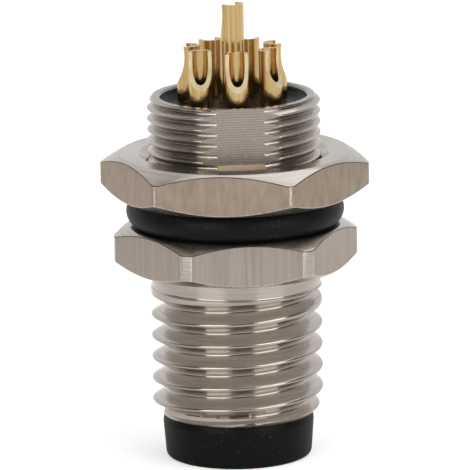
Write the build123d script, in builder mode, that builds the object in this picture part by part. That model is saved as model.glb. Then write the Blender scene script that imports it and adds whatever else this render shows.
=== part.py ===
"""Panel-mount circular connector of the 8 mm sensor size, with eight contacts.

A turned shell carries a coarse thread at the mating end, a hexagonal flange, and a barrel
with one flat that passes through the panel. The barrel's fine thread is left to scene.py,
so it stands here at crest size. A seal ring and a lock nut clamp the panel to the flange.
Inside are a moulded contact carrier, whose nose and cavity form the mating end, eight
turned contacts with solder cups, and a sealing compound cast into the rear of the shell.

The origin is the centre of the mating face, and +Z runs up the axis to the solder cups.
Headings are degrees round the axis from -Y towards +X. Lengths are in millimetres.
"""

from math import atan, ceil, cos, degrees, radians, sin, tan
import os

from build123d import *

# Lengths along the axis, from the mating face upwards
nose_length = 2.04
front_thread_length = 6.88
flange_thickness = 2.0
seal_space = 1.35
rear_thread_length = 4.67

# Front thread, for the mating plug
front_thread_diameter = 7.9
front_thread_pitch = 1.0
front_thread_depth = 0.57
front_thread_wall = 0.26
front_thread_chamfer = 0.45
front_climb_start = 2.22
front_climb_turns = 1.7

# Rear barrel, for the panel and the lock nut: its thread is fine, so only its depth counts
rear_thread_diameter = 7.96
rear_thread_depth = 0.27
rear_thread_wall = 0.35
rear_thread_chamfer = 0.25
neck_relief = 0.05
rear_flat_wall = 0.2
rear_flat_heading = 5.1
rim_edge = 0.08

# Hexagonal flange and lock nut
hexagon_chamfer_angle = 30.0
flange_across_flats = 10.0
flange_across_corners = 11.25
flange_chamfer_circle = 9.8
flange_heading = 6.4
nut_across_flats = 10.9
nut_across_corners = 12.4
nut_chamfer_circle = 10.6
nut_thickness = 2.0
nut_heading = -5.7
nut_running_gap = 0.05
nut_countersink = 0.38

# Seal ring, squeezed to the space between the flange and the nut
seal_width = 1.35
seal_land = 0.5
seal_side_gap = 0.01
seal_nut_gap = 0.02

# Contact carrier with the nose, the mating cavity and its key
nose_step = 0.39
nose_taper = 0.13
nose_shoulder_step = 0.11
nose_shoulder_height = 0.33
nose_edge_radius = 0.25
carrier_fit = 0.02
carrier_recess = 2.34
sleeve_wall = 0.3
cavity_depth = 6.0
cavity_mouth_chamfer = 0.1
key_width = 0.9
key_height = 0.28
key_setback = 0.6
key_heading = 185.0

# Contacts
ring_contacts = 7
contact_ring_diameter = 4.1
first_contact_heading = 5.0
contact_fit = 0.02
pin_diameter = 0.6
pin_setback = 1.0
pin_tip_chamfer = 0.15
cup_diameter = 1.07
cup_bore_diameter = 0.74
cup_bore_depth = 2.3
ring_cup_standout = 2.27
centre_cup_rise = 1.95
centre_scoop_heading = -135.0
last_scoop_turn = 48.0
scoop_radius = 2.2
scoop_depth = 0.43
scoop_below_top = 0.45

# Sealing compound, which creeps up the shell's wall
compound_recess = 0.4
compound_step = 1.36
compound_creep = 0.24

# Levels that follow from the lengths
shell_front = nose_length
flange_bottom = shell_front + front_thread_length
flange_top = flange_bottom + flange_thickness
nut_bottom = flange_top + seal_space
nut_top = nut_bottom + nut_thickness
shell_rear = nut_bottom + rear_thread_length
carrier_rear = shell_rear - carrier_recess
rear_bore_floor = carrier_rear - compound_step
compound_top = shell_rear - compound_recess
ring_cup_top = shell_rear + ring_cup_standout
centre_cup_top = ring_cup_top + centre_cup_rise

# Radii that follow from the diameters, depths and walls
front_crest = front_thread_diameter / 2
front_root = front_crest - front_thread_depth
front_bore = front_root - front_thread_wall
rear_crest = rear_thread_diameter / 2
rear_root = rear_crest - rear_thread_depth
rear_bore = rear_root - rear_thread_wall
rear_flat = rear_bore + rear_flat_wall
neck = rear_root - neck_relief
carrier_radius = front_bore - carrier_fit
cavity_radius = carrier_radius - sleeve_wall
nose_radius = carrier_radius + nose_step
nut_bore = rear_crest + nut_running_gap
contact_ring = contact_ring_diameter / 2
cup_radius = cup_diameter / 2

vertical = Vector(0, 0, 1)


def towards(heading):
    """Unit vector across the axis at a heading."""
    return Vector(sin(radians(heading)), -cos(radians(heading)), 0)


def facing_plane(centre, heading):
    """Upright plane through a centre: its x points along the heading and its y up."""
    return Plane(origin=centre, x_dir=towards(heading), z_dir=towards(heading).cross(vertical))


def turned(outline):
    """Solid turned round the axis from an outline of (radius, level) points."""
    with BuildPart() as turning:
        with BuildSketch(Plane.XZ):
            with BuildLine():
                Polyline(*outline, close=True)
            make_face()
        revolve(axis=Axis.Z)
    return turning.part


def thread_groove(crest, depth, pitch, first_level, turns, climbs_out=False):
    """Right-handed 60 degree groove that starts at +X on first_level and winds upwards.

    A groove that climbs out leaves its full depth on a cone and ends clear of the crest.
    """
    overshoot = pitch / 20
    cut_depth = depth + overshoot
    half_root = pitch / 16
    half_mouth = half_root + cut_depth * tan(radians(30))
    climb = atan(cut_depth / (pitch * turns)) if climbs_out else 0
    with BuildPart() as groove:
        with BuildLine() as winding:
            Helix(
                pitch / cos(climb),
                pitch * turns,
                crest - depth,
                center=(0, 0, first_level),
                cone_angle=degrees(climb),
            )
        with BuildSketch(Plane(winding.line @ 0, x_dir=(1, 0, 0), z_dir=winding.line % 0)):
            with BuildLine():
                Polyline(
                    (0, -half_root),
                    (cut_depth, -half_mouth),
                    (cut_depth, half_mouth),
                    (0, half_root),
                    close=True,
                )
            make_face()
        sweep(path=winding.line, is_frenet=True)
    return groove.part


def threaded(outline, crest, bottom, top, grooves):
    """Bar cut by its grooves over more than its length, then turned down to its outline."""
    with BuildPart() as bar:
        add(turned([(0, bottom), (crest, bottom), (crest, top), (0, top)]))
        for groove in grooves:
            add(groove, mode=Mode.SUBTRACT)
        add(turned(outline), mode=Mode.INTERSECT)
    return bar.part


def chamfered_hexagon(across_flats, across_corners, chamfer_circle, heading, bottom, top):
    """Hexagonal slab between two levels, turned at both ends to a shallow cone."""
    corner = across_corners / 2
    circle = chamfer_circle / 2
    slope = (corner - circle) * tan(radians(hexagon_chamfer_angle))
    with BuildPart() as hexagon:
        with BuildSketch(Plane(origin=(0, 0, bottom), x_dir=towards(heading), z_dir=vertical)):
            RegularPolygon(across_flats / 2, 6, major_radius=False, rotation=30)
        extrude(amount=top - bottom)
        turning = turned(
            [
                (0, bottom),
                (circle, bottom),
                (corner, bottom + slope),
                (corner, top - slope),
                (circle, top),
                (0, top),
            ]
        )
        add(turning, mode=Mode.INTERSECT)
    return hexagon.part


# Front thread: its groove starts below the bar's end and climbs out under the flange
climb_level = flange_bottom - front_climb_start
front_turns = ceil((climb_level - shell_front) / front_thread_pitch) + 1
front_groove_level = climb_level - front_turns * front_thread_pitch
front_shape = (front_crest, front_thread_depth, front_thread_pitch)
front_thread = threaded(
    [
        (0, shell_front),
        (front_crest - front_thread_chamfer, shell_front),
        (front_crest, shell_front + front_thread_chamfer),
        (front_crest + front_thread_depth, flange_bottom),
        (0, flange_bottom),
    ],
    front_crest,
    front_groove_level - front_thread_pitch,
    flange_bottom + front_thread_pitch,
    [
        thread_groove(*front_shape, front_groove_level, front_turns + 0.05),
        thread_groove(*front_shape, climb_level, front_climb_turns, climbs_out=True),
    ],
)

# Rear barrel: a neck for the seal ring, then the threaded length at crest size
rear_barrel = turned(
    [
        (0, flange_top),
        (neck, flange_top),
        (neck, nut_bottom),
        (rear_crest, nut_bottom),
        (rear_crest, shell_rear - rear_thread_chamfer),
        (rear_crest - rear_thread_chamfer, shell_rear),
        (0, shell_rear),
    ]
)

# Shell: front thread, hexagonal flange and rear barrel, with a flat and a stepped bore
with BuildPart() as shell:
    add(front_thread)
    flange = chamfered_hexagon(
        flange_across_flats,
        flange_across_corners,
        flange_chamfer_circle,
        flange_heading,
        flange_bottom,
        flange_top,
    )
    add(flange)
    add(rear_barrel)
    flat_plane = Plane(
        origin=towards(rear_flat_heading) * rear_flat + vertical * nut_bottom,
        x_dir=towards(rear_flat_heading),
        z_dir=vertical,
    )
    with BuildSketch(flat_plane):
        Rectangle(rear_crest, 2 * rear_crest, align=(Align.MIN, Align.CENTER))
    extrude(amount=rear_thread_length, mode=Mode.SUBTRACT)
    bore = turned(
        [
            (0, shell_front),
            (front_bore, shell_front),
            (front_bore, rear_bore_floor),
            (rear_bore, rear_bore_floor),
            (rear_bore, shell_rear - rim_edge),
            (rear_bore + rim_edge, shell_rear),
            (0, shell_rear),
        ]
    )
    add(bore, mode=Mode.SUBTRACT)

# Lock nut: a chamfered hexagon with a bore countersunk at both ends
with BuildPart() as lock_nut:
    blank = chamfered_hexagon(
        nut_across_flats,
        nut_across_corners,
        nut_chamfer_circle,
        nut_heading,
        nut_bottom,
        nut_top,
    )
    add(blank)
    nut_hole = turned(
        [
            (0, nut_bottom),
            (nut_bore + nut_countersink, nut_bottom),
            (nut_bore, nut_bottom + nut_countersink),
            (nut_bore, nut_top - nut_countersink),
            (nut_bore + nut_countersink, nut_top),
            (0, nut_top),
        ]
    )
    add(nut_hole, mode=Mode.SUBTRACT)

# Seal ring: a round section pressed flat where it bears on the flange, the nut and the neck
seal_inner = neck + seal_side_gap
seal_height = seal_space - seal_nut_gap
seal_middle = flange_top + seal_height / 2
seal_land_start = seal_inner + (seal_width - seal_land) / 2
seal_land_end = seal_land_start + seal_land

with BuildPart() as seal_ring:
    with BuildSketch(Plane.XZ):
        with BuildLine():
            Line((seal_land_start, flange_top), (seal_land_end, flange_top))
            ThreePointArc(
                (seal_land_end, flange_top),
                (seal_inner + seal_width, seal_middle),
                (seal_land_end, flange_top + seal_height),
            )
            Polyline(
                (seal_land_end, flange_top + seal_height),
                (seal_land_start, flange_top + seal_height),
                (seal_inner, seal_middle + seal_land / 2),
                (seal_inner, seal_middle - seal_land / 2),
                (seal_land_start, flange_top),
            )
        make_face()
    revolve(axis=Axis.Z)

# Contact carrier: tapered nose, thin sleeve round the cavity, solid rear with eight holes
contact_headings = [first_contact_heading + 360 * n / ring_contacts for n in range(ring_contacts)]
contact_places = [towards(heading) * contact_ring for heading in contact_headings]

with BuildPart() as contact_carrier:
    moulding = turned(
        [
            (0, cavity_depth),
            (cavity_radius, cavity_depth),
            (cavity_radius, cavity_mouth_chamfer),
            (cavity_radius + cavity_mouth_chamfer, 0),
            (nose_radius - nose_taper, 0),
            (nose_radius, shell_front - nose_shoulder_height),
            (nose_radius - nose_shoulder_step, shell_front),
            (carrier_radius, shell_front),
            (carrier_radius, carrier_rear),
            (0, carrier_rear),
        ]
    )
    add(moulding)
    outer_edge = contact_carrier.edges().group_by(Axis.Z)[0].sort_by(SortBy.RADIUS)[-1]
    fillet(outer_edge, radius=nose_edge_radius)
    with BuildSketch(Plane.XY.offset(key_setback)) as key_section:
        with Locations(Plane(origin=(0, 0, 0), x_dir=towards(key_heading), z_dir=vertical)):
            Rectangle(cavity_radius + sleeve_wall / 2, key_width, align=(Align.MIN, Align.CENTER))
            Circle(cavity_radius - key_height, mode=Mode.SUBTRACT)
    extrude(amount=cavity_depth - key_setback)
    with BuildSketch(Plane.XY.offset(cavity_depth)):
        with Locations((0, 0), *contact_places):
            Circle(cup_radius + contact_fit)
    extrude(amount=carrier_rear - cavity_depth, mode=Mode.SUBTRACT)


def make_contact(label, place, heading, top):
    """Turned contact: a pin under a body whose top is a bored solder cup with a side scoop.

    The seams of its round faces are turned to the scoop, so that no sliver is left beside it.
    """
    bore_floor = top - cup_bore_depth
    across = {"x_dir": towards(heading), "z_dir": vertical}
    with BuildPart() as contact:
        for radius, low, high in [
            (pin_diameter / 2, pin_setback, cavity_depth),
            (cup_radius, cavity_depth, top),
        ]:
            with BuildSketch(Plane(origin=place + vertical * low, **across)):
                Circle(radius)
            extrude(amount=high - low)
        chamfer(contact.edges().group_by(Axis.Z)[0], length=pin_tip_chamfer)
        with BuildSketch(Plane(origin=place + vertical * bore_floor, **across)):
            Circle(cup_bore_diameter / 2)
        extrude(amount=cup_bore_depth, mode=Mode.SUBTRACT)
        with BuildSketch(facing_plane(place + vertical * (top - scoop_below_top), heading)):
            with Locations((cup_radius - scoop_depth + scoop_radius, 0)):
                Circle(scoop_radius)
        extrude(amount=cup_diameter, both=True, mode=Mode.SUBTRACT)
    contact.part.label = label
    return contact.part


# Sealing compound: fills the rear bore round the carrier's end and the contacts
with BuildPart() as sealing_compound:
    with BuildSketch(Plane.XZ):
        with BuildLine():
            Polyline(
                (0, compound_top),
                (0, carrier_rear),
                (carrier_radius, carrier_rear),
                (carrier_radius, rear_bore_floor),
                (rear_bore, rear_bore_floor),
                (rear_bore, compound_top + compound_creep),
                (rear_bore - compound_creep, compound_top),
                close=True,
            )
        make_face()
    revolve(axis=Axis.Z)
    with BuildSketch(Plane.XY.offset(carrier_rear)):
        with Locations((0, 0), *contact_places):
            Circle(cup_radius)
    extrude(amount=compound_top - carrier_rear, mode=Mode.SUBTRACT)

shell.part.label = "shell"
lock_nut.part.label = "lock_nut"
seal_ring.part.label = "seal_ring"
contact_carrier.part.label = "contact_carrier"
sealing_compound.part.label = "sealing_compound"

# Every scoop of the ring faces outwards but the last one's, which is turned to the front
scoop_headings = [*contact_headings[:-1], contact_headings[-1] + last_scoop_turn]
contacts = [make_contact("contact_centre", Vector(0, 0, 0), centre_scoop_heading, centre_cup_top)]
for number, (place, heading) in enumerate(zip(contact_places, scoop_headings), start=1):
    contacts.append(make_contact(f"contact_{number}", place, heading, ring_cup_top))

os.makedirs("parts", exist_ok=True)
for piece in [
    shell.part,
    lock_nut.part,
    seal_ring.part,
    contact_carrier.part,
    sealing_compound.part,
    *contacts,
]:
    export_step(piece, f"parts/{piece.label}.step")
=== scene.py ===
"""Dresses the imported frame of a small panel-mount sensor connector.

The visible surfaces are worked out in millimetres as grids: one direction runs round an axis,
the other follows a section. Headings are degrees round the axis from -Y towards +X.
"""

import bmesh
import bpy
import numpy as np
from mathutils import Matrix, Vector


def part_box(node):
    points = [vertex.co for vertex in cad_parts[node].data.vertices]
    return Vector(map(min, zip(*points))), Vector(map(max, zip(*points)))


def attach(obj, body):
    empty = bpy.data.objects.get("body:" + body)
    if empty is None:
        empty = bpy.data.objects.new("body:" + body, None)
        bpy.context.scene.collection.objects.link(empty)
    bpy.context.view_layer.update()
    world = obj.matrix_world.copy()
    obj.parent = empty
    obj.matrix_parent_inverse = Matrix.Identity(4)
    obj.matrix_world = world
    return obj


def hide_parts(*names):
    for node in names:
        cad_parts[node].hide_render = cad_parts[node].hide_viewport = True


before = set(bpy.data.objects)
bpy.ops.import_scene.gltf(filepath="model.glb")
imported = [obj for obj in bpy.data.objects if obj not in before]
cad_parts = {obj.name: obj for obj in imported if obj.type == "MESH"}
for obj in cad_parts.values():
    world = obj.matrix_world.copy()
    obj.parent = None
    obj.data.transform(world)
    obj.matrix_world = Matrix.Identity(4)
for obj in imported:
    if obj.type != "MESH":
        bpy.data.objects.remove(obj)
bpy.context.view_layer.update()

MM = 0.001


def levels_of(name):
    """Lowest and highest level of a CAD node in mm, to a thousandth."""
    low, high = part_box(name)
    return round(low[2] / MM, 3), round(high[2] / MM, 3)


# Levels along the axis
flange_thickness = 2.0
cavity_depth = 6.0
nose_end, carrier_rear = levels_of("contact_carrier")
shell_front, shell_rear = levels_of("shell")
flange_top, _ = levels_of("seal_ring")
flange_bottom = flange_top - flange_thickness
nut_bottom, nut_top = levels_of("lock_nut")
rear_bore_floor, compound_edge = levels_of("sealing_compound")
pin_end, ring_cup_top = levels_of("contact_1")
_, centre_cup_top = levels_of("contact_centre")
cavity_floor = nose_end + cavity_depth

# Radii, as in the part's source
front_bore = 3.12
rear_bore = 3.36
neck = 3.66
carrier_radius = 3.1
nut_bore = 4.03

# Thread sections: crest radius, depth, pitch, where a groove's centre crosses +X, and width of the
# root. The front thread is 0.09 mm deeper than the solid's, for crests as narrow as the real ones
front_thread = {"crest": 3.95, "depth": 0.66, "pitch": 1.0, "level": 0.70, "root": 0.125}
rear_thread = {"crest": 3.98, "depth": 0.27, "pitch": 0.5, "level": 12.40, "root": 0.13}
half_groove_angle = np.radians(30)

# In a mesh, points closer than the first distance become one, and edges shorter than the second
# go. Edges sharper than the angle stay sharp
merge_mm = 0.0004
collapse_mm = 0.00001
sharp_angle = np.radians(35)


def towards(heading):
    """Unit vector across the axis at a heading."""
    return np.array([np.sin(np.radians(heading)), -np.cos(np.radians(heading)), 0.0])


def whole_turn(steps):
    """Headings of a whole turn in so many steps, the last one back at the first."""
    return np.linspace(0, 360, steps + 1)


def placed(radius, level, headings):
    """Points at a radius, level and heading, each a grid or a number: x is the radius times
    the heading's sine, y is minus the radius times its cosine."""
    radius, level, headings = np.broadcast_arrays(radius, level, headings)
    angle = np.radians(headings)
    return np.stack([radius * np.sin(angle), -radius * np.cos(angle), level], axis=-1)


def corners(section, columns):
    """Grid of section corners: each (radius, level) is a number or one value per column."""
    rows = [[np.broadcast_to(value, columns) for value in corner] for corner in section]
    return np.moveaxis(np.array(rows, dtype=float), 1, 2)


def eased(points, reach, steps=4, between=0, closed=False):
    """Rows of a section with its corners eased.

    Each corner becomes a parabola that leaves its two sides one reach away, or 0.45 of the
    side if that is less: at a share t of the way it is the start times (1 - t) squared, the
    corner times 2 t (1 - t) and the end times t squared. The straight part of each side may be
    cut into more rows.
    """
    reach = np.broadcast_to(np.asarray(reach, dtype=float), len(points))[:, None, None]
    back = np.roll(points, 1, axis=0) - points
    ahead = np.roll(points, -1, axis=0) - points
    if not closed:
        back[0] = 0
        ahead[-1] = 0
    shares = []
    for side in (back, ahead):
        length = np.maximum(np.linalg.norm(side, axis=2, keepdims=True), 1e-9)
        shares.append(side * np.minimum(reach / length, 0.45))
    t = np.linspace(0, 1, steps)[:, None, None]
    start = (points + shares[0])[:, None]
    end = (points + shares[1])[:, None]
    arcs = (1 - t) ** 2 * start + 2 * t * (1 - t) * points[:, None] + t**2 * end
    if between:
        u = np.linspace(0, 1, between + 2)[1:-1, None, None]
        following = np.roll(start, -1, axis=0) if closed else np.concatenate([start[1:], end[-1:]])
        arcs = np.concatenate([arcs, end + (following - end) * u], axis=1)
    rows = arcs.reshape(-1, *points.shape[1:])
    return np.concatenate([rows, rows[:1]]) if closed else rows


def sheet_of(points, flip=False, tone=0.0):
    """Corner points, faces, UV and face tones of a grid. Faces point left of the rows' direction,
    or right of it if flipped. U runs from 0 to 1 along the columns, V in mm along the rows.

    A tone is one number, or one for each cell: up to 1 for painted shade, down to -1 for a bright
    painted highlight.
    """
    rows, columns = points.shape[:2]
    first = (np.arange(rows - 1)[:, None] * columns + np.arange(columns - 1)).ravel()
    faces = np.stack([first, first + 1, first + columns + 1, first + columns], axis=1)
    step = np.linalg.norm(np.diff(points, axis=0), axis=2).mean(axis=1)
    along = np.concatenate([[0], np.cumsum(step)])
    uv = np.stack(np.meshgrid(np.linspace(0, 1, columns), along), axis=-1).reshape(-1, 2)
    tones = np.broadcast_to(tone, (rows - 1, columns - 1)).ravel()
    return points.reshape(-1, 3), faces[:, ::-1] if flip else faces, uv, tones


def revolved(rows, headings, tone=0.0):
    """The one sheet of a section's rows of (radius, level), taken round the axis."""
    return [sheet_of(placed(rows[..., 0], rows[..., 1], headings), tone=tone)]


def make_piece(name, sheets, material, body, node_name):
    """Joins sheets into one closed piece of the object, in place of a CAD node."""
    count = 0
    points, faces, uvs, tones = [], [], [], []
    for sheet_points, sheet_faces, sheet_uv, sheet_tones in sheets:
        points.append(sheet_points)
        faces.append(sheet_faces + count)
        uvs.append(sheet_uv)
        tones.append(sheet_tones)
        count += len(sheet_points)
    faces = np.concatenate(faces)
    mesh = bpy.data.meshes.new(name)
    mesh.from_pydata(np.concatenate(points) * MM, [], faces)
    uv_map = mesh.uv_layers.new(name="round_and_along")
    uv_map.data.foreach_set("uv", np.concatenate(uvs)[faces.ravel()].ravel())
    tone = mesh.attributes.new("tone", "FLOAT", "FACE")
    tone.data.foreach_set("value", np.concatenate(tones))
    work = bmesh.new()
    work.from_mesh(mesh)
    bmesh.ops.remove_doubles(work, verts=work.verts, dist=merge_mm * MM)
    bmesh.ops.dissolve_degenerate(work, edges=work.edges, dist=collapse_mm * MM)
    work.to_mesh(mesh)
    work.free()
    mesh.polygons.foreach_set("use_smooth", np.ones(len(mesh.polygons), bool))
    mesh.set_sharp_from_angle(angle=sharp_angle)
    piece = bpy.data.objects.new(name, mesh)
    bpy.context.scene.collection.objects.link(piece)
    mesh.materials.append(material)
    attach(piece, body)
    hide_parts(node_name)
    return piece


def refinish(piece, material, chosen):
    """Gives some faces of a piece another finish: those whose normal and centre, in mm, are
    chosen by a function of both."""
    polygons = piece.data.polygons
    normals, centres = np.empty((2, 3 * len(polygons)))
    polygons.foreach_get("normal", normals)
    polygons.foreach_get("center", centres)
    indices = np.empty(len(polygons), int)
    polygons.foreach_get("material_index", indices)
    picked = chosen(normals.reshape(-1, 3), centres.reshape(-1, 3) / MM)
    indices[picked] = len(piece.data.materials)
    piece.data.materials.append(material)
    polygons.foreach_set("material_index", indices)


def linear(colour):
    """Linear RGBA of an sRGB hex colour."""
    parts = np.array([int(colour[i : i + 2], 16) for i in (1, 3, 5)]) / 255
    parts = np.where(parts <= 0.04045, parts / 12.92, ((parts + 0.055) / 1.055) ** 2.4)
    return (*parts, 1.0)


def node(tree, kind, inputs=None, **settings):
    """Adds a node. Inputs are values, or the sockets that feed them, by name or number."""
    made = tree.nodes.new(kind)
    for name, value in settings.items():
        setattr(made, name, value)
    for name, value in (inputs or {}).items():
        if isinstance(value, bpy.types.NodeSocket):
            tree.links.new(value, made.inputs[name])
        else:
            made.inputs[name].default_value = value
    return made


def new_material(name, **settings):
    """A material whose shader has these values on its own sockets, with its node tree."""
    material = bpy.data.materials.new(name)
    material.use_nodes = True
    tree = material.node_tree
    shader = tree.nodes["Principled BSDF"]
    for socket, value in settings.items():
        shader.inputs[socket.replace("_", " ")].default_value = value
    return material, tree, shader


# Noise counts as going from low to high between the first two values, as going from no painted
# highlight to a full one between the next two, and as going from clean to dusty between the last two
noise_low = 0.3
noise_high = 0.7
highlight_low = 0.42
highlight_high = 0.5
dust_low = 0.78
dust_high = 0.82

# Specks in plating and dust on plastic are really 0.01 to 0.05 mm across. At 22 pixels to the
# millimetre that wouldn't show, so both are drawn at a ninth of a millimetre
speck_mm = 1 / 9

# What a metal's tone turns to: painted shade in thread roots, on the rim and along upper edges,
# which all but covers the plate, and painted highlights on edges and corners, which also show a
# little through the painted shade
painted_shade_colour = "#1E1A18"
painted_shade_cover = 0.95
painted_highlight_colour = "#EFE7DB"
highlight_in_painted_shade = 0.2

# How far roughness goes up and down with the grain
metal_roughness_swing = 0.04
polymer_roughness_swing = 0.05


def plated_metal(name, light, dark, roughness, height_mm, line_mm=None, step_mm=None, turn=0.0, spread=0.75):
    """Plated metal with machining lines.

    Noise as large as line_mm along x, y and z gives the fine grooves and drifts the colour
    between two tones, and a finer even noise roughens it here and there. With step_mm the lines
    are a wave along the axis of that length instead. The gloss spreads across the lines by a
    share: along the round tangent for upright ones, and a quarter turn off it for round ones.
    The faces' tone paints shade into thread roots, onto the rim and along upper edges, and paints
    highlights onto edges and corners, which the finer noise breaks up.
    """
    material, tree, shader = new_material(
        name, Metallic=1.0, Anisotropic=spread, Anisotropic_Rotation=turn
    )
    place = node(tree, "ShaderNodeTexCoord")
    if step_mm:
        # At scale 1 the wave's sine turns 20 radians a metre
        groove = node(
            tree,
            "ShaderNodeTexWave",
            {
                "Vector": place.outputs["Object"],
                "Scale": 2 * np.pi / (20 * step_mm * MM),
                "Distortion": 1.5,
                "Detail": 2.0,
                "Detail Scale": 0.05,
            },
            bands_direction="Z",
        )
    else:
        lines_per_metre = [1 / (length * MM) for length in line_mm]
        stretch = node(tree, "ShaderNodeMapping", {0: place.outputs["Object"], 3: lines_per_metre})
        groove = node(
            tree,
            "ShaderNodeTexNoise",
            {"Vector": stretch.outputs[0], "Scale": 1.0, "Detail": 2.0},
        )
    drift = node(
        tree,
        "ShaderNodeMapRange",
        {0: groove.outputs["Fac"], 1: noise_low, 2: noise_high},
    )
    grain = node(
        tree,
        "ShaderNodeTexNoise",
        {"Vector": place.outputs["Object"], "Scale": 1 / (speck_mm * MM), "Detail": 3.0},
    )
    tone = node(tree, "ShaderNodeAttribute", attribute_name="tone")
    painted_dark = node(
        tree,
        "ShaderNodeMapRange",
        {0: tone.outputs["Fac"], 1: 0.0, 2: 1.0, 3: 0.0, 4: painted_shade_cover},
    )
    # High grain shows the painted highlight where the tone is negative, and low grain shows a share
    # of it as specks through the painted shade
    highlight_breakup = node(
        tree,
        "ShaderNodeMapRange",
        {
            0: grain.outputs["Fac"],
            1: highlight_low,
            2: highlight_high,
            3: highlight_in_painted_shade,
            4: -1.0,
        },
    )
    painted_bright = node(
        tree,
        "ShaderNodeMath",
        {0: tone.outputs["Fac"], 1: highlight_breakup.outputs[0]},
        operation="MULTIPLY",
        use_clamp=True,
    )
    colour = linear(dark)
    for share, layer in (
        (drift.outputs[0], light),
        (painted_dark.outputs[0], painted_shade_colour),
        (painted_bright.outputs[0], painted_highlight_colour),
    ):
        mix = node(
            tree,
            "ShaderNodeMix",
            {0: share, 6: colour, 7: linear(layer)},
            data_type="RGBA",
        )
        colour = mix.outputs[2]
    tree.links.new(colour, shader.inputs["Base Color"])
    rough = node(
        tree,
        "ShaderNodeMapRange",
        {
            0: grain.outputs["Fac"],
            1: noise_low,
            2: noise_high,
            3: roughness - metal_roughness_swing,
            4: roughness + metal_roughness_swing,
        },
    )
    tree.links.new(rough.outputs[0], shader.inputs["Roughness"])
    bump = node(
        tree,
        "ShaderNodeBump",
        {"Height": groove.outputs["Fac"], "Distance": height_mm * MM, "Strength": 1.0},
    )
    tree.links.new(bump.outputs[0], shader.inputs["Normal"])
    tangent = node(tree, "ShaderNodeTangent", direction_type="UV_MAP", uv_map="round_and_along")
    tree.links.new(tangent.outputs[0], shader.inputs["Tangent"])
    return material


# Nickel plate over turned brass: a warm grey mirror whose feed lines draw each light out into a
# band along the axis. A lathe feeds 0.05 to 0.1 mm a turn, which just shows here
nickel_turned = plated_metal(
    "nickel_plated_brass_turned",
    "#CBC3BB",
    "#B7AFA7",
    roughness=0.2,
    line_mm=(10 / 3, 10 / 3, 1 / 16),
    height_mm=0.001,
    turn=0.25,
)

# The same plate over the skin of the drawn hexagonal bar: satin, with upright lines from the die
# that are paler and darker by turns. Real ones are 0.02 to 0.05 mm apart, drawn coarser to show
nickel_hexagon = plated_metal(
    "nickel_plated_brass_drawn",
    "#BDB2AA",
    "#ACA199",
    roughness=0.42,
    line_mm=(1 / 9, 1 / 9, 20 / 3),
    height_mm=0.002,
    spread=0.4,
)

# The nut's flats, drawn and then tumbled before plating: softer and browner, with short scuffs.
# Real scuffs are a tenth of a millimetre wide or less, drawn coarser to show
nickel_nut = plated_metal(
    "nickel_plated_brass_satin",
    "#B3A494",
    "#A49485",
    roughness=0.45,
    line_mm=(2 / 7, 2 / 7, 5 / 6),
    height_mm=0.001,
    spread=0.4,
)

# The flat on the rear thread, cut by the side of a mill: even level steps, as a comb of light and
# dark. A mill steps 0.02 to 0.1 mm a tooth, drawn a little coarser to show
nickel_milled = plated_metal(
    "nickel_plated_brass_milled",
    "#C9BCB1",
    "#B2A79D",
    roughness=0.3,
    height_mm=0.001,
    step_mm=0.115,
    turn=0.25,
)

# A painted reflection of the nut's countersink where the nut's edge meets the flat: cream and even, in small
# blots
flat_foot_reflection = plated_metal(
    "painted_reflection_on_flat",
    "#FFF0D8",
    "#FFE6C2",
    roughness=0.3,
    line_mm=(1 / 2, 1 / 2, 1 / 2),
    height_mm=0.001,
    spread=0.0,
)

# Gold plate over turned and polished brass: a bright warm mirror that upright streaks draw out
# round each cup. Real polishing marks are 0.01 mm wide, drawn coarser to show
gold = plated_metal(
    "gold_plated_brass_turned",
    "#DEC18B",
    "#C7A36E",
    roughness=0.2,
    line_mm=(1 / 9, 1 / 9, 20 / 3),
    height_mm=0.001,
)

# The scoops, milled after turning and left as cut: pale matt gold, mottled. The mill's marks are
# really under 0.1 mm, drawn coarser to show
gold_cut = plated_metal(
    "gold_plated_brass_milled",
    "#FFEFC8",
    "#F4DDA8",
    roughness=0.45,
    line_mm=(2 / 5, 2 / 5, 2 / 5),
    height_mm=0.003,
    spread=0.0,
)


def dark_polymer(name, colour, fleck, roughness, grain_mm, height_mm, fleck_share, specular):
    """Dark polymer: grain of a size and height in the surface, and sparse paler flecks of dust.

    The flecks lie where a fine noise is high, and a larger share lets more of it count. The IOR
    keeps to 1.5, which is usual for such polymers, and the specular level is brought down to the
    little shine that a rough and dusty surface keeps.
    """
    material, tree, shader = new_material(name, Specular_IOR_Level=specular)
    place = node(tree, "ShaderNodeTexCoord")
    grain = node(
        tree,
        "ShaderNodeTexNoise",
        {"Vector": place.outputs["Object"], "Scale": 1 / (grain_mm * MM), "Detail": 4.0},
    )
    flecks = node(
        tree,
        "ShaderNodeTexNoise",
        {"Vector": place.outputs["Object"], "Scale": 1 / (speck_mm * MM)},
    )
    dusted = node(
        tree,
        "ShaderNodeMapRange",
        {0: flecks.outputs["Fac"], 1: dust_low - fleck_share, 2: dust_high - fleck_share},
    )
    mixed = node(
        tree,
        "ShaderNodeMix",
        {0: dusted.outputs[0], 6: linear(colour), 7: linear(fleck)},
        data_type="RGBA",
    )
    tree.links.new(mixed.outputs[2], shader.inputs["Base Color"])
    rough = node(
        tree,
        "ShaderNodeMapRange",
        {
            0: grain.outputs["Fac"],
            1: noise_low,
            2: noise_high,
            3: roughness - polymer_roughness_swing,
            4: roughness + polymer_roughness_swing,
        },
    )
    tree.links.new(rough.outputs[0], shader.inputs["Roughness"])
    bump = node(tree, "ShaderNodeBump", {"Height": grain.outputs["Fac"], "Distance": height_mm * MM})
    tree.links.new(bump.outputs[0], shader.inputs["Normal"])
    return material


# Nitrile rubber, moulded: dull black with a soft sheen and grey dust. The mould's grain is really
# about 0.03 mm, drawn coarser to show
rubber = dark_polymer(
    "nitrile_rubber_moulded",
    "#0A0B0C",
    "#3E4141",
    roughness=0.45,
    grain_mm=0.12,
    height_mm=0.004,
    fleck_share=0.09,
    specular=0.17,
)

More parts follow.
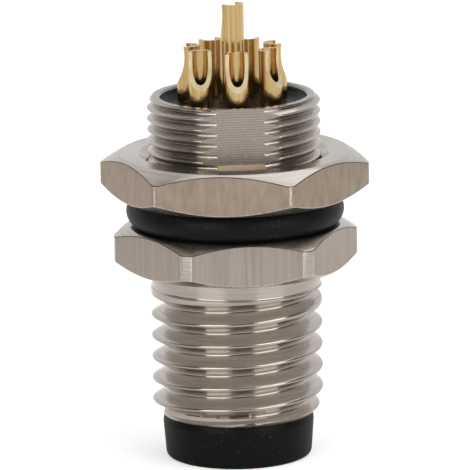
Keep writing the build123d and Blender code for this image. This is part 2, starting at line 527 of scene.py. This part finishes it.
# Black polyamide, moulded in an eroded mould: a fine even grain that dulls the black, with brown
# dust. The grain is really about 0.02 mm, drawn coarser to show
polyamide = dark_polymer(
    "black_polyamide_moulded",
    "#0E0E0F",
    "#5A5450",
    roughness=0.42,
    grain_mm=0.08,
    height_mm=0.003,
    fleck_share=0.07,
    specular=0.12,
)

# Black epoxy, cast: it set level and smooth, with slow ripples over half a millimetre across
epoxy = dark_polymer(
    "black_epoxy_cast",
    "#0A0B0D",
    "#3A3632",
    roughness=0.35,
    grain_mm=0.6,
    height_mm=0.008,
    fleck_share=0.0,
    specular=0.1,
)


def threaded_rows(headings, crest, depth, pitch, level, root, first, last, fade_from=None, fade_turns=1.0):
    """Rows of a right-handed 60 degree thread.

    A groove's centre climbs one pitch a turn and is at the given level at +X. Its root is a
    given width, and its mouth is wider by twice the depth times the tangent of 30 degrees. Past
    fade_from its depth falls evenly to nothing over some turns. The turns go from the first up
    to the last, which isn't drawn. Corners are eased by a tenth of the pitch at the crest and a
    fifth at the root, so both are nearly round.
    """
    turns = np.arange(first, last)[:, None]
    centre = level + pitch * ((headings - 90) / 360 + turns)
    deep = np.full_like(centre, depth)
    if fade_from is not None:
        deep = depth * np.clip(1 - (centre - fade_from) / (pitch * fade_turns), 0, 1)
    half_root = root / 2
    half_mouth = half_root + deep * np.tan(half_groove_angle)
    crests = np.full_like(centre, crest)
    ring = np.stack(
        [
            np.stack([crests, centre - half_mouth], axis=-1),
            np.stack([crests - deep, centre - half_root], axis=-1),
            np.stack([crests - deep, centre + half_root], axis=-1),
            np.stack([crests, centre + half_mouth], axis=-1),
        ],
        axis=1,
    )
    reach = np.tile([0.1, 0.2, 0.2, 0.1], len(turns)) * pitch
    return eased(ring.reshape(-1, len(headings), 2), reach, 5, 2)


def groove_painted_shade(radius, crest, depth):
    """Painted shade of the cells between thread points: the cube of the share of the depth that a
    point lies under the crest, averaged over the cell's four."""
    sunk = np.clip((crest - radius) / depth, 0, 1) ** 3
    return (sunk[:-1, :-1] + sunk[1:, :-1] + sunk[:-1, 1:] + sunk[1:, 1:]) / 4


def thread_radius(headings, heights, crest, depth, pitch, level, root):
    """Radius of the same thread at a height: the crest, less what the nearest groove cuts."""
    phase = (heights - level) / pitch - (headings - 90) / 360
    off = np.abs((phase + 0.5) % 1 - 0.5) * pitch
    return crest - np.clip(depth - (off - root / 2) / np.tan(half_groove_angle), 0, depth)


def trimmed(rows, bottom, top, low_radius, high_radius):
    """Rows kept between two levels: those past a level lie on it at the radius it cuts."""
    radius, level = rows[..., 0].copy(), rows[..., 1]
    radius = np.where(level < bottom, low_radius, radius)
    radius = np.where(level > top, high_radius, radius)
    return np.stack([radius, np.clip(level, bottom, top)], axis=-1)


# Front thread: a cone of 45 degrees starts it, and the groove runs out below a shallow ring that
# is turned under the flange. Where it meets the nose the groove isn't cut under the end's radius
start_chamfer = 0.45
start_end_height = 0.4
start_end_radius = 3.41
fade_level = 7.45
relief_bottom = 8.0
relief_ramp_bottom = relief_bottom + 0.02
relief_ramp_top = relief_bottom + 0.1
relief_radius = 3.89

# Reaches of the eased edges at the outer and the inner end of the relief's ramp
ramp_outer_edge = 0.01
ramp_inner_edge = 0.03

# How far the threaded pieces reach into the flange
flange_overlap = 0.3


def front_thread_rows(headings):
    """Closed section of the threaded front. The radius is the thread's, or the start cone's if
    that is less, which is the crest less the chamfer plus the height above the shell's front."""
    crest = front_thread["crest"]
    rows = threaded_rows(
        headings, **front_thread, first=0, last=9, fade_from=fade_level, fade_turns=0.6
    )
    start_radius = thread_radius(headings, shell_front, **front_thread)
    rows = trimmed(rows, shell_front, relief_bottom, start_radius, crest)
    start_cone = crest - start_chamfer + rows[..., 1] - shell_front
    end_radius = np.where(rows[..., 1] < shell_front + start_end_height, start_end_radius, 0.0)
    rows[..., 0] = np.maximum(np.minimum(rows[..., 0], start_cone), end_radius)
    top = flange_bottom + flange_overlap
    relief = [
        (crest, relief_bottom),
        (crest, relief_ramp_bottom),
        (relief_radius, relief_ramp_top),
        (relief_radius, top),
    ]
    relief = eased(corners(relief, len(headings)), [0, ramp_outer_edge, ramp_inner_edge, 0], 4)
    inside = corners([(front_bore, top), (front_bore, shell_front)], len(headings))
    return np.concatenate([rows, relief, inside, rows[:1]])


front_headings = whole_turn(288)
make_piece(
    "front_thread",
    revolved(front_thread_rows(front_headings), front_headings),
    nickel_turned,
    "shell_body",
    "shell",
)

# Hexagons: sizes in mm, the heading of one flat, the radius past which a corner counts as turned,
# and the painted highlight lines' angle off a flat's middle and reach, in degrees. The flange has
# these painted highlights where its flats meet the turned corners, and the nut down the middle of
# its corners
flange_across_flats = 10.0
flange_across_corners = 11.25
flange_sizes = {
    "across_flats": flange_across_flats,
    "across_corners": flange_across_corners,
    "chamfer_circle": 9.8,
    "bottom": flange_bottom,
    "top": flange_top,
    "hole": front_bore,
    "countersink": 0.0,
    "flat_heading": 6.4,
    "turned_past": 5.61,
    "highlight_turn": np.degrees(np.arccos(flange_across_flats / flange_across_corners)),
    "highlight_reach": 0.3,
}
nut_sizes = {
    "across_flats": 10.9,
    "across_corners": 12.4,
    "chamfer_circle": 10.6,
    "bottom": nut_bottom,
    "top": nut_top,
    "hole": nut_bore,
    "countersink": 0.38,
    "flat_heading": -5.7,
    "turned_past": np.inf,
    "highlight_turn": 30.0,
    "highlight_reach": 0.45,
}
cone_angle = np.radians(30)
corner_blend = 0.05
broken_edge = 0.03

# Each corner of a hexagon's section has this many rows, and one follows it on the straight. The
# corners count from 0, and the cones meet the sides at these two
edge_rows = 4
rows_per_corner = edge_rows + 1
lower_cone_edge = 2
upper_cone_edge = 3
# Tones painted on the edges: a highlight along the lower cone's, a shadow line along the upper's, and
# highlights by the corners
lower_edge_painted_highlight = -0.6
upper_edge_painted_shadow = 0.8
corner_painted_highlight = -0.8

# A face is turned if its normal rises or falls by more than this
turned_lean = 0.2


def off_nearest_flat(headings, sizes):
    """Angle in degrees off the nearest of a hexagon's six flats, which are 60 degrees apart."""
    return (headings - sizes["flat_heading"] + 30) % 60 - 30


def hexagon_radius(headings, sizes):
    """Radius of a hexagon: half its width over the cosine of the angle off the nearest flat,
    blended over the corner blend into the turned corner's circle."""
    side = sizes["across_flats"] / 2 / np.cos(np.radians(off_nearest_flat(headings, sizes)))
    corner = sizes["across_corners"] / 2
    share = np.clip(0.5 + 0.5 * (corner - side) / corner_blend, 0, 1)
    return corner * (1 - share) + side * share - corner_blend * share * (1 - share)


def hexagon_rows(headings, sizes):
    """Closed section of a hexagonal slab, with every edge broken. Cones rise from the chamfer
    circle to the sides by the tangent of their angle, and the hole is plain or countersunk."""
    radius = hexagon_radius(headings, sizes)
    circle = sizes["chamfer_circle"] / 2
    rise = (radius - circle) * np.tan(cone_angle)
    bottom, top = sizes["bottom"], sizes["top"]
    hole, countersink = sizes["hole"], sizes["countersink"]
    section = [
        (hole + countersink, bottom),
        (circle, bottom),
        (radius, bottom + rise),
        (radius, top - rise),
        (circle, top),
        (hole + countersink, top),
        (hole, top - countersink),
        (hole, bottom + countersink),
    ]
    return eased(corners(section, len(headings)), broken_edge, edge_rows, 1, closed=True)


def hexagon_tone(rows, headings, sizes):
    """Tones of a hexagon's cells: a painted highlight on the rows that break its lower cone's edge,
    a painted shadow line on those of its upper cone's, and painted highlights on its sides within a
    reach of a turn off each side's middle, both in degrees."""
    cell = np.arange(len(rows) - 1)
    corner = cell // rows_per_corner
    breaks_edge = cell % rows_per_corner < edge_rows - 1
    edge = np.where(breaks_edge & (corner == lower_cone_edge), lower_edge_painted_highlight, 0.0)
    edge = np.where(breaks_edge & (corner == upper_cone_edge), upper_edge_painted_shadow, edge)
    side = ~breaks_edge & (corner == lower_cone_edge)
    off = np.abs(off_nearest_flat(headings[1:], sizes))
    painted_bright = side[:, None] & (np.abs(off - sizes["highlight_turn"]) < sizes["highlight_reach"])
    return np.where(painted_bright, corner_painted_highlight, edge[:, None])


def make_hexagon(name, sizes, material, body, node_name):
    """Hexagonal slab, whose cones and ends were turned, and its corners past a radius."""
    headings = whole_turn(720)
    rows = hexagon_rows(headings, sizes)
    sheets = revolved(rows, headings, hexagon_tone(rows, headings, sizes))
    piece = make_piece(name, sheets, material, body, node_name)

    def turned(normals, centres):
        """True for the faces that a lathe cut."""
        off_axis = np.linalg.norm(centres[:, :2], axis=1)
        return (np.abs(normals[:, 2]) > turned_lean) | (off_axis > sizes["turned_past"])

    refinish(piece, nickel_turned, turned)


make_hexagon(
    "hexagonal_flange", flange_sizes, nickel_hexagon, "shell_body", "shell"
)
make_hexagon("lock_nut_dressed", nut_sizes, nickel_nut, "nut_body", "lock_nut")

# Rear thread with its milled flat, and the rim with an outer and an inner chamfer
flat_heading = 5.1
flat_wall = 0.2
flat_radius = rear_bore + flat_wall
rim_chamfer = 0.25
rim_inner_chamfer = 0.08
# Painted shade on the rim's top and on its inner chamfer
rim_painted_shade = 0.4
rim_inner_painted_shade = 0.5

# Painted shade in the thread's roots lies thinner here than in a tone's full range, and thins out
# towards the flat over an angle. Cells within the margin of the flat have none
painted_shade_share = 0.75
painted_shade_fade_degrees = 16.0
flat_margin = 0.02

# Headings whose cosine off the flat's is below this are out of its reach
least_facing = 0.3

# Columns, as shares: from -1 to 1 across the flat, and from 1 to 3 round the rest
column_shares = np.concatenate([np.linspace(-1, 1, 49), np.linspace(1, 3, 265)[1:]])


def crowded(edge):
    """Headings of the columns, for a flat whose edges are at plus and minus an angle. Shares up
    to 1 spread over the flat and the others over the rest, so points lie on both its edges."""
    in_flat = np.abs(column_shares) <= 1
    across = np.where(in_flat, column_shares * edge, edge + (column_shares - 1) * (180 - edge))
    return flat_heading + across


def rear_thread_grid():
    """Radius and level, heading and cell tones of the closed rear barrel. The radius is the least
    of the thread's, the rim cone's and the flat's, which is the flat's distance from the axis
    over the cosine of the heading off it."""
    crest = rear_thread["crest"]
    thread = threaded_rows(np.zeros(1), **rear_thread, first=-1, last=11)
    edge = np.degrees(np.arccos(flat_radius / thread[:, :, 0]))
    headings = crowded(edge)
    lifted = thread[:, :, 1] + rear_thread["pitch"] * headings / 360
    # Points past the ends share one set of headings, so that they merge
    past_ends = (lifted < nut_bottom) | (lifted > shell_rear)
    end_edge = np.degrees(np.arccos(flat_radius / (crest - rim_chamfer)))
    headings = np.where(past_ends, crowded(end_edge), headings)
    radius = np.broadcast_to(thread[:, :, 0], lifted.shape)
    low_radius = thread_radius(headings, nut_bottom, **rear_thread)
    high_radius = thread_radius(headings, shell_rear, **rear_thread)
    rows = trimmed(
        np.stack([radius, lifted], axis=-1), nut_bottom, shell_rear, low_radius, high_radius
    )
    rim_cone = crest - rim_chamfer + shell_rear - rows[..., 1]
    off_flat = np.radians(headings - flat_heading)
    facing = np.cos(off_flat)
    in_reach = facing > least_facing
    flat_reach = np.where(in_reach, flat_radius / np.maximum(facing, least_facing), np.inf)
    # Painted shade in the thread's roots, thinning out towards the flat and none on it
    painted_dark = painted_shade_share * groove_painted_shade(rows[..., 0], crest, rear_thread["depth"])
    turn_off_flat = np.abs((np.degrees(off_flat) + 180) % 360 - 180)
    past_flat = np.clip((turn_off_flat - edge.min()) / painted_shade_fade_degrees, 0.0, 1.0)
    near_flat = flat_reach[1:, 1:] < rows[1:, 1:, 0] + flat_margin
    painted_dark = np.where(near_flat, 0, painted_dark * past_flat[1:, 1:])
    rows[..., 0] = np.minimum(np.minimum(rows[..., 0], rim_cone), flat_reach)
    neck_bottom = flange_top - flange_overlap
    below = [(front_bore, neck_bottom), (neck, neck_bottom), (neck, nut_bottom)]
    above = [
        (rear_bore + rim_inner_chamfer, shell_rear),
        (rear_bore, shell_rear - rim_inner_chamfer),
        (rear_bore, rear_bore_floor),
        (front_bore, rear_bore_floor),
        below[0],
    ]
    columns = len(column_shares)
    rows = np.concatenate([corners(below, columns), rows, corners(above, columns)])
    headings = np.concatenate(
        [
            np.repeat(headings[:1], len(below), axis=0),
            headings,
            np.repeat(headings[-1:], len(above), axis=0),
        ]
    )
    tones = np.zeros((len(rows) - 1, columns - 1))
    rim = len(below) + len(painted_dark)
    tones[len(below) : rim] = painted_dark
    # Painted shade on the rim's top and on its inner chamfer
    tones[rim] = rim_painted_shade
    tones[rim + 1] = rim_inner_painted_shade
    return rows, headings, tones


rear_rows, rear_headings, rear_tones = rear_thread_grid()
rear_piece = make_piece(
    "rear_thread",
    revolved(rear_rows, rear_headings, rear_tones),
    nickel_turned,
    "shell_body",
    "shell",
)

# The flat was milled last, so its faces carry lines of their own, and its foot has a pale band of
# painted reflection from the nut's countersink where the nut's edge meets it
foot_bottom = nut_top - 0.32
foot_top = nut_top + 0.09
foot_half_width = 1.15
straight_on = 0.9999


def on_flat(normals, centres):
    """True for the faces that look the way the flat does."""
    return normals @ towards(flat_heading) > straight_on


def on_foot(normals, centres):
    """True for the flat's faces in a low band that stops short of both edges."""
    level = centres[:, 2]
    across = centres @ towards(flat_heading + 90)
    in_band = (level > foot_bottom) & (level < foot_top) & (np.abs(across) < foot_half_width)
    return on_flat(normals, centres) & in_band


refinish(rear_piece, nickel_milled, on_flat)
# The flat's foot gets the painted reflection of the nut's countersink
refinish(rear_piece, flat_foot_reflection, on_foot)

# Seal ring: an ellipse of section, squeezed flat below and above. Its radius goes by the cosine and
# its level by the sine of the angle round the section
seal_half_width = 0.675
seal_side_gap = 0.01
seal_middle = neck + seal_side_gap + seal_half_width
seal_free_half_height = 0.7
seal_half_height = 0.665
around = np.radians(whole_turn(48))[:, None]
seal_radius = seal_middle + seal_half_width * np.cos(around)
seal_rise = np.clip(seal_free_half_height * np.sin(around), -seal_half_height, seal_half_height)
seal_points = placed(seal_radius, flange_top + seal_half_height + seal_rise, whole_turn(240))
make_piece(
    "seal_ring_dressed",
    [sheet_of(seal_points)],
    rubber,
    "shell_body",
    "seal_ring",
)

# Contact carrier: nose and cavity with its key, both eased as moulded edges are
cavity_radius = 2.8
mouth_chamfer = 0.1
key_heading = 185.0
key_half_angle = 9.7
key_height = 0.28
key_setback = 0.6
nose_end_radius = 3.36
nose_shoulder_radius = 3.49
nose_shoulder_height = 0.33
nose_rear_radius = 3.38

# Reaches of the eased edges: within the cavity, at the nose's end, on its shoulder and behind it
cavity_edge = 0.03
nose_end_edge = 0.25
shoulder_edge = 0.08
rear_edge = 0.02


def carrier_headings_round_key():
    """Headings of a whole turn, with two more close together at each side of the key."""
    sides = np.array([-1.001, -0.999, 0.999, 1.001]) * key_half_angle
    return np.sort(np.concatenate([whole_turn(240), key_heading + sides]))


def carrier_section(headings):
    """Section of the carrier from the cavity's floor round the nose to the rear. The cavity's
    wall stands nearer the axis by the key's height within the key's half angle."""
    in_key = np.abs(headings - key_heading) < key_half_angle
    wall = np.where(in_key, cavity_radius - key_height, cavity_radius)
    corners_and_reaches = [
        ((0.0, cavity_floor), 0),
        ((wall, cavity_floor), cavity_edge),
        ((wall, nose_end + key_setback), cavity_edge),
        ((cavity_radius, nose_end + key_setback), 0),
        ((cavity_radius, nose_end + mouth_chamfer), cavity_edge),
        ((cavity_radius + mouth_chamfer, nose_end), cavity_edge),
        ((nose_end_radius, nose_end), nose_end_edge),
        ((nose_shoulder_radius, shell_front - nose_shoulder_height), shoulder_edge),
        ((nose_rear_radius, shell_front), rear_edge),
        ((carrier_radius, shell_front), rear_edge),
        ((carrier_radius, carrier_rear), 0),
        ((0.0, carrier_rear), 0),
    ]
    section = [corner for corner, _ in corners_and_reaches]
    reaches = [reach for _, reach in corners_and_reaches]
    return eased(corners(section, len(headings)), reaches, 6)


carrier_headings = carrier_headings_round_key()
make_piece(
    "contact_carrier_dressed",
    revolved(carrier_section(carrier_headings), carrier_headings),
    polyamide,
    "shell_body",
    "contact_carrier",
)

# Contacts: a pin under a bored cup, whose side a cylinder across the axis scoops out. The body
# stands a little out of the cavity's floor, and the edges are eased by small reaches
pin_radius = 0.3
pin_tip_edge = 0.18
pin_foot_edge = 0.02
body_front_edge = 0.03
cup_radius = 0.535
cup_bore = 0.37
cup_depth = 2.3
scoop_radius = 2.2
scoop_depth = 0.43
scoop_below_top = 0.45
body_stands_out = 0.03
body_front = cavity_floor - body_stands_out
ring_radius = 2.05
first_heading = 5.0
ring_count = 7
centre_scoop_heading = -135.0
last_scoop_turn = 48.0
scoop_axis_out = cup_radius - scoop_depth + scoop_radius

# Positions round a contact, as shares of the turn, what a level may miss another by and still be
# the same, how near a face of the scoop lies to its cylinder, and how far below the rim
turn_shares = np.linspace(0, 1, 73)
same_level = 1e-9
scoop_tolerance = 0.004
rim_margin = 0.01


def scoop_drop(radius):
    """How far below its axis the scoop's cylinder crosses a wall's front: the root of the
    scoop's radius squared less the distance out to its axis squared."""
    return np.sqrt(scoop_radius**2 - (radius - scoop_axis_out) ** 2)


def cup_wall(radius, levels, reaches, open_from):
    """Points of a cup's wall, from one edge of the scoop round the back to the other. Above
    where it opens, the edge's angle has the scoop's reach over the wall's radius as cosine."""
    open_here = levels > open_from + same_level
    cut = np.where(open_here, np.arccos(np.clip(reaches / radius, -1, 1)), 0)
    angle = cut[:, None] + (2 * np.pi - 2 * cut[:, None]) * turn_shares
    spread = np.broadcast_to(levels[:, None], angle.shape)
    return np.stack([radius * np.cos(angle), radius * np.sin(angle), spread], -1)


def cut_edges(outer, inner, reaches, cut_rows, bored_count):
    """The two sides of the scoop's face: outer and inner edge of each. Below the bore the inner
    edge is the face's middle line, at the scoop's reach."""
    outer_edge = outer[cut_rows][:, [0, -1]]
    inner_edge = outer_edge * [1, 0, 1]
    inner_edge[-bored_count:] = inner[1:][:, [0, -1]]
    inner_edge[:-bored_count, :, 0] = reaches[cut_rows][:-bored_count, None]
    left = np.stack([inner_edge[:, 0], outer_edge[:, 0]], axis=1)
    right = np.stack([outer_edge[:, 1], inner_edge[:, 1]], axis=1)
    return left, right


def stem_grid():
    """Pin and body up to the carrier's rear, turned about the contact's axis."""
    section = [
        (0.0, pin_end),
        (pin_radius, pin_end),
        (pin_radius, body_front),
        (cup_radius, body_front),
        (cup_radius, carrier_rear),
    ]
    reaches = [0, pin_tip_edge, pin_foot_edge, body_front_edge, 0]
    rows = eased(corners(section, len(turn_shares)), reaches, 6)
    angle = 2 * np.pi * turn_shares
    return np.stack([rows[..., 0] * np.cos(angle), rows[..., 0] * np.sin(angle), rows[..., 1]], -1)


def make_contact(name, place, heading, top, node_name):
    """Closed contact. At a height the scoop reaches in to its axis's distance less the root of
    its radius squared less the height off its axis squared."""
    axis_level = top - scoop_below_top
    low_outer = axis_level - scoop_drop(cup_radius)
    low_inner = axis_level - scoop_drop(cup_bore)
    # Rows up the whole body, up the solid that the scoop cuts, and up the bore that it opens
    heights = np.concatenate(
        [
            np.linspace(carrier_rear, low_outer, 5),
            np.linspace(low_outer, low_inner, 9)[1:],
            np.linspace(low_inner, top, 33)[1:],
        ]
    )
    off_axis = heights - axis_level
    reach = scoop_axis_out - np.sqrt(np.maximum(scoop_radius**2 - off_axis**2, 0))
    outer = cup_wall(cup_radius, heights, reach, low_outer)
    bored = heights >= low_inner - same_level
    inner_heights = np.concatenate([[top - cup_depth], heights[bored]])
    inner_reach = np.concatenate([[cup_bore], reach[bored]])
    inner = cup_wall(cup_bore, inner_heights, inner_reach, low_inner)
    cut_rows = heights >= low_outer - same_level
    left, right = cut_edges(outer, inner, reach, cut_rows, bored.sum())
    to_heading = np.array([towards(heading), towards(heading + 90), [0, 0, 1]])
    # Stem, outer wall, bore, rim, the bore's floor, and the two sides of the scoop's face
    grids = [
        (stem_grid(), False),
        (outer, False),
        (inner, True),
        (np.stack([outer[-1], inner[-1]]), False),
        (np.stack([inner[0], inner[0] * [0, 0, 1]]), False),
        (left, False),
        (right, False),
    ]
    sheets = [sheet_of(points @ to_heading + place, flip) for points, flip in grids]
    contact = make_piece(name, sheets, gold, "shell_body", node_name)

    def on_scoop(normals, centres):
        """True for centres that lie on the scoop's cylinder and off the bore's and the rim."""
        across = (centres - place) @ towards(heading) - scoop_axis_out
        off = np.hypot(across, centres[:, 2] - axis_level) - scoop_radius
        return (np.abs(off) < scoop_tolerance) & (centres[:, 2] < top - rim_margin)

    refinish(contact, gold_cut, on_scoop)


make_contact("centre_contact", np.zeros(3), centre_scoop_heading, centre_cup_top, "contact_centre")
ring_places = []
for number in range(ring_count):
    contact_heading = first_heading + 360 * number / ring_count
    is_last = number == ring_count - 1
    scoop_heading = contact_heading + last_scoop_turn if is_last else contact_heading
    ring_places.append(towards(contact_heading) * ring_radius)
    make_contact(
        f"ring_contact_{number + 1}",
        ring_places[-1],
        scoop_heading,
        ring_cup_top,
        f"contact_{number + 1}",
    )

# Sealing compound: level in the middle, and drawn up the wall and a little up each cup, by a rise
# that falls off with the distance over a reach. Its rows lie closer past a radius
crowded_radius = 3.0
wall_rise = 0.24
wall_reach = 0.1
cup_rise = 0.1
cup_reach = 0.07


def compound_grid(headings):
    """Underside and top of the compound. A rise falls off as e to the minus distance over reach,
    and the rises of the wall and of every cup are added to the level."""
    middle = np.linspace(0, crowded_radius, 61)
    border = np.linspace(crowded_radius, rear_bore, 25)[1:]
    radii = np.concatenate([middle, border])[:, None]
    top = placed(radii, 0.0, headings)
    level = compound_edge - wall_rise + wall_rise * np.exp(-((rear_bore - radii) / wall_reach))
    level = level + np.zeros(len(headings))
    for place in [np.zeros(3), *ring_places]:
        away = np.linalg.norm(top - place, axis=2) - cup_radius
        level = level + cup_rise * np.exp(-np.maximum(away, 0) / cup_reach)
    top[..., 2] = level
    under = placed(np.array([[rear_bore], [0.0]]), carrier_rear, headings)
    return np.concatenate([under[::-1], top[::-1]])


make_piece(
    "sealing_compound_dressed",
    [sheet_of(compound_grid(whole_turn(240)))],
    epoxy,
    "shell_body",
    "sealing_compound",
)

# Camera, as the photograph has it: far off, a little above, and leaning by a degree
camera_elevation = np.radians(12.5)
camera_lean = np.radians(0.97)
camera_distance = 290 * MM
focal_mm = 482
sensor_mm = 36
look_at = np.array([0.0, 0.0, 10.28 * MM])
photo_width = 470
shift_right_pixels = -0.6
shift_up_pixels = 0.8
camera_data = bpy.data.cameras.new("product_camera")
camera = bpy.data.objects.new("product_camera", camera_data)
bpy.context.scene.collection.objects.link(camera)
bpy.context.scene.camera = camera
back = np.array([0.0, -np.cos(camera_elevation), np.sin(camera_elevation)])
plain_right = np.array([1.0, 0.0, 0.0])
plain_up = np.cross(back, plain_right)
right = plain_right * np.cos(camera_lean) - plain_up * np.sin(camera_lean)
up = plain_up * np.cos(camera_lean) + plain_right * np.sin(camera_lean)
camera.matrix_world = Matrix.Translation(look_at + back * camera_distance) @ Matrix(
    np.stack([right, up, back], axis=1).tolist()
).to_4x4()
camera_data.sensor_width = sensor_mm
camera_data.lens = focal_mm
camera_data.shift_x = shift_right_pixels / photo_width
camera_data.shift_y = shift_up_pixels / photo_width
camera_data.clip_start = 10 * MM

# Floor: matt painted board, which reads as white paper to the camera and keeps its shadow, and
# reads as paler in reflections behind the object. The glows add what these lamps leave short of
# that, and the one in reflections comes up over a distance behind the axis
floor_half = 2.0
behind_from = 10 * MM
behind_whole = 50 * MM
camera_glow = 0.45
mirror_glow = 0.3
white = linear("#FFFFFF")
floor_corners = [(-floor_half, -floor_half, 0), (floor_half, -floor_half, 0)]
floor_corners += [(floor_half, floor_half, 0), (-floor_half, floor_half, 0)]
floor_mesh = bpy.data.meshes.new("floor")
floor_mesh.from_pydata(floor_corners, [], [(0, 1, 2, 3)])
floor = bpy.data.objects.new("floor", floor_mesh)
bpy.context.scene.collection.objects.link(floor)
floor_material, floor_tree, floor_shader = new_material("pale_floor", Roughness=0.9)
floor_shader.inputs["Base Color"].default_value = linear("#F4F3F1")
floor_ray = node(floor_tree, "ShaderNodeLightPath")
floor_place = node(floor_tree, "ShaderNodeTexCoord")
floor_parts = node(floor_tree, "ShaderNodeSeparateXYZ", {0: floor_place.outputs["Object"]})
behind = node(
    floor_tree,
    "ShaderNodeMapRange",
    {0: floor_parts.outputs["Y"], 1: behind_from, 2: behind_whole},
)
mirrored = node(
    floor_tree,
    "ShaderNodeMath",
    {0: floor_ray.outputs["Is Glossy Ray"], 1: floor_ray.outputs["Is Transmission Ray"]},
)
mirrored_behind = node(
    floor_tree,
    "ShaderNodeMath",
    {0: mirrored.outputs[0], 1: behind.outputs[0]},
    operation="MULTIPLY",
)
to_mirrors = node(
    floor_tree,
    "ShaderNodeMath",
    {0: mirrored_behind.outputs[0], 1: mirror_glow},
    operation="MULTIPLY",
)
glow = node(
    floor_tree,
    "ShaderNodeMath",
    {0: floor_ray.outputs["Is Camera Ray"], 1: camera_glow, 2: to_mirrors.outputs[0]},
    operation="MULTIPLY_ADD",
)
floor_shader.inputs["Emission Color"].default_value = white
floor_tree.links.new(glow.outputs[0], floor_shader.inputs["Emission Strength"])
floor_mesh.materials.append(floor_material)

# World: an even fill. To the camera the surroundings are white, and metal shows a pale room that
# darkens to the front, between two values of a direction's part along Y
fill_strength = 0.45
room_front = 0.12
room_back = 0.8
front_until = 0.1
back_from = 0.6
world = bpy.data.worlds.new("studio")
bpy.context.scene.world = world
world.use_nodes = True
sky = world.node_tree
fill = sky.nodes["Background"]
fill.inputs["Color"].default_value = linear("#F4F3F2")
fill.inputs["Strength"].default_value = fill_strength
sky_ray = node(sky, "ShaderNodeLightPath")
direction = node(sky, "ShaderNodeTexCoord")
direction_parts = node(sky, "ShaderNodeSeparateXYZ", {0: direction.outputs["Generated"]})
room = node(
    sky,
    "ShaderNodeMapRange",
    {
        0: direction_parts.outputs["Y"],
        1: front_until,
        2: back_from,
        3: room_front,
        4: room_back,
    },
)
seen = node(
    sky,
    "ShaderNodeMath",
    {0: sky_ray.outputs["Is Camera Ray"], 1: room.outputs[0]},
    operation="MAXIMUM",
)
backdrop = node(sky, "ShaderNodeBackground", {"Color": white, "Strength": seen.outputs[0]})
shows_room = sky_ray.outputs["Is Camera Ray"]
for ray_kind in ("Is Glossy Ray", "Is Transmission Ray"):
    either = node(
        sky,
        "ShaderNodeMath",
        {0: shows_room, 1: sky_ray.outputs[ray_kind]},
        use_clamp=True,
    )
    shows_room = either.outputs[0]
surroundings = node(
    sky,
    "ShaderNodeMixShader",
    {0: shows_room, 1: fill.outputs[0], 2: backdrop.outputs[0]},
)
sky.links.new(surroundings.outputs[0], sky.nodes["World Output"].inputs["Surface"])


def softbox(name, heading, elevation, distance, width, height, power):
    """An area lamp that faces the object from a heading and elevation. Lengths are in mm and the
    power in watts."""
    data = bpy.data.lights.new(name, "AREA")
    data.shape = "RECTANGLE"
    data.size = width * MM
    data.size_y = height * MM
    data.energy = power
    lamp = bpy.data.objects.new(name, data)
    bpy.context.scene.collection.objects.link(lamp)
    tilt = np.radians(elevation)
    away = towards(heading) * np.cos(tilt) + np.array([0, 0, np.sin(tilt)])
    side = towards(heading + 90)
    lamp.matrix_world = Matrix.Translation(look_at + away * distance * MM) @ Matrix(
        np.stack([side, np.cross(away, side), away], axis=1).tolist()
    ).to_4x4()


softbox("left_softbox", heading=-35, elevation=24, distance=400, width=275, height=340, power=0.6)
softbox("right_softbox", heading=47, elevation=24, distance=400, width=290, height=340, power=0.6)
softbox("top_softbox", heading=110, elevation=76, distance=450, width=480, height=460, power=0.6)

bpy.context.scene.view_settings.view_transform = "Standard"
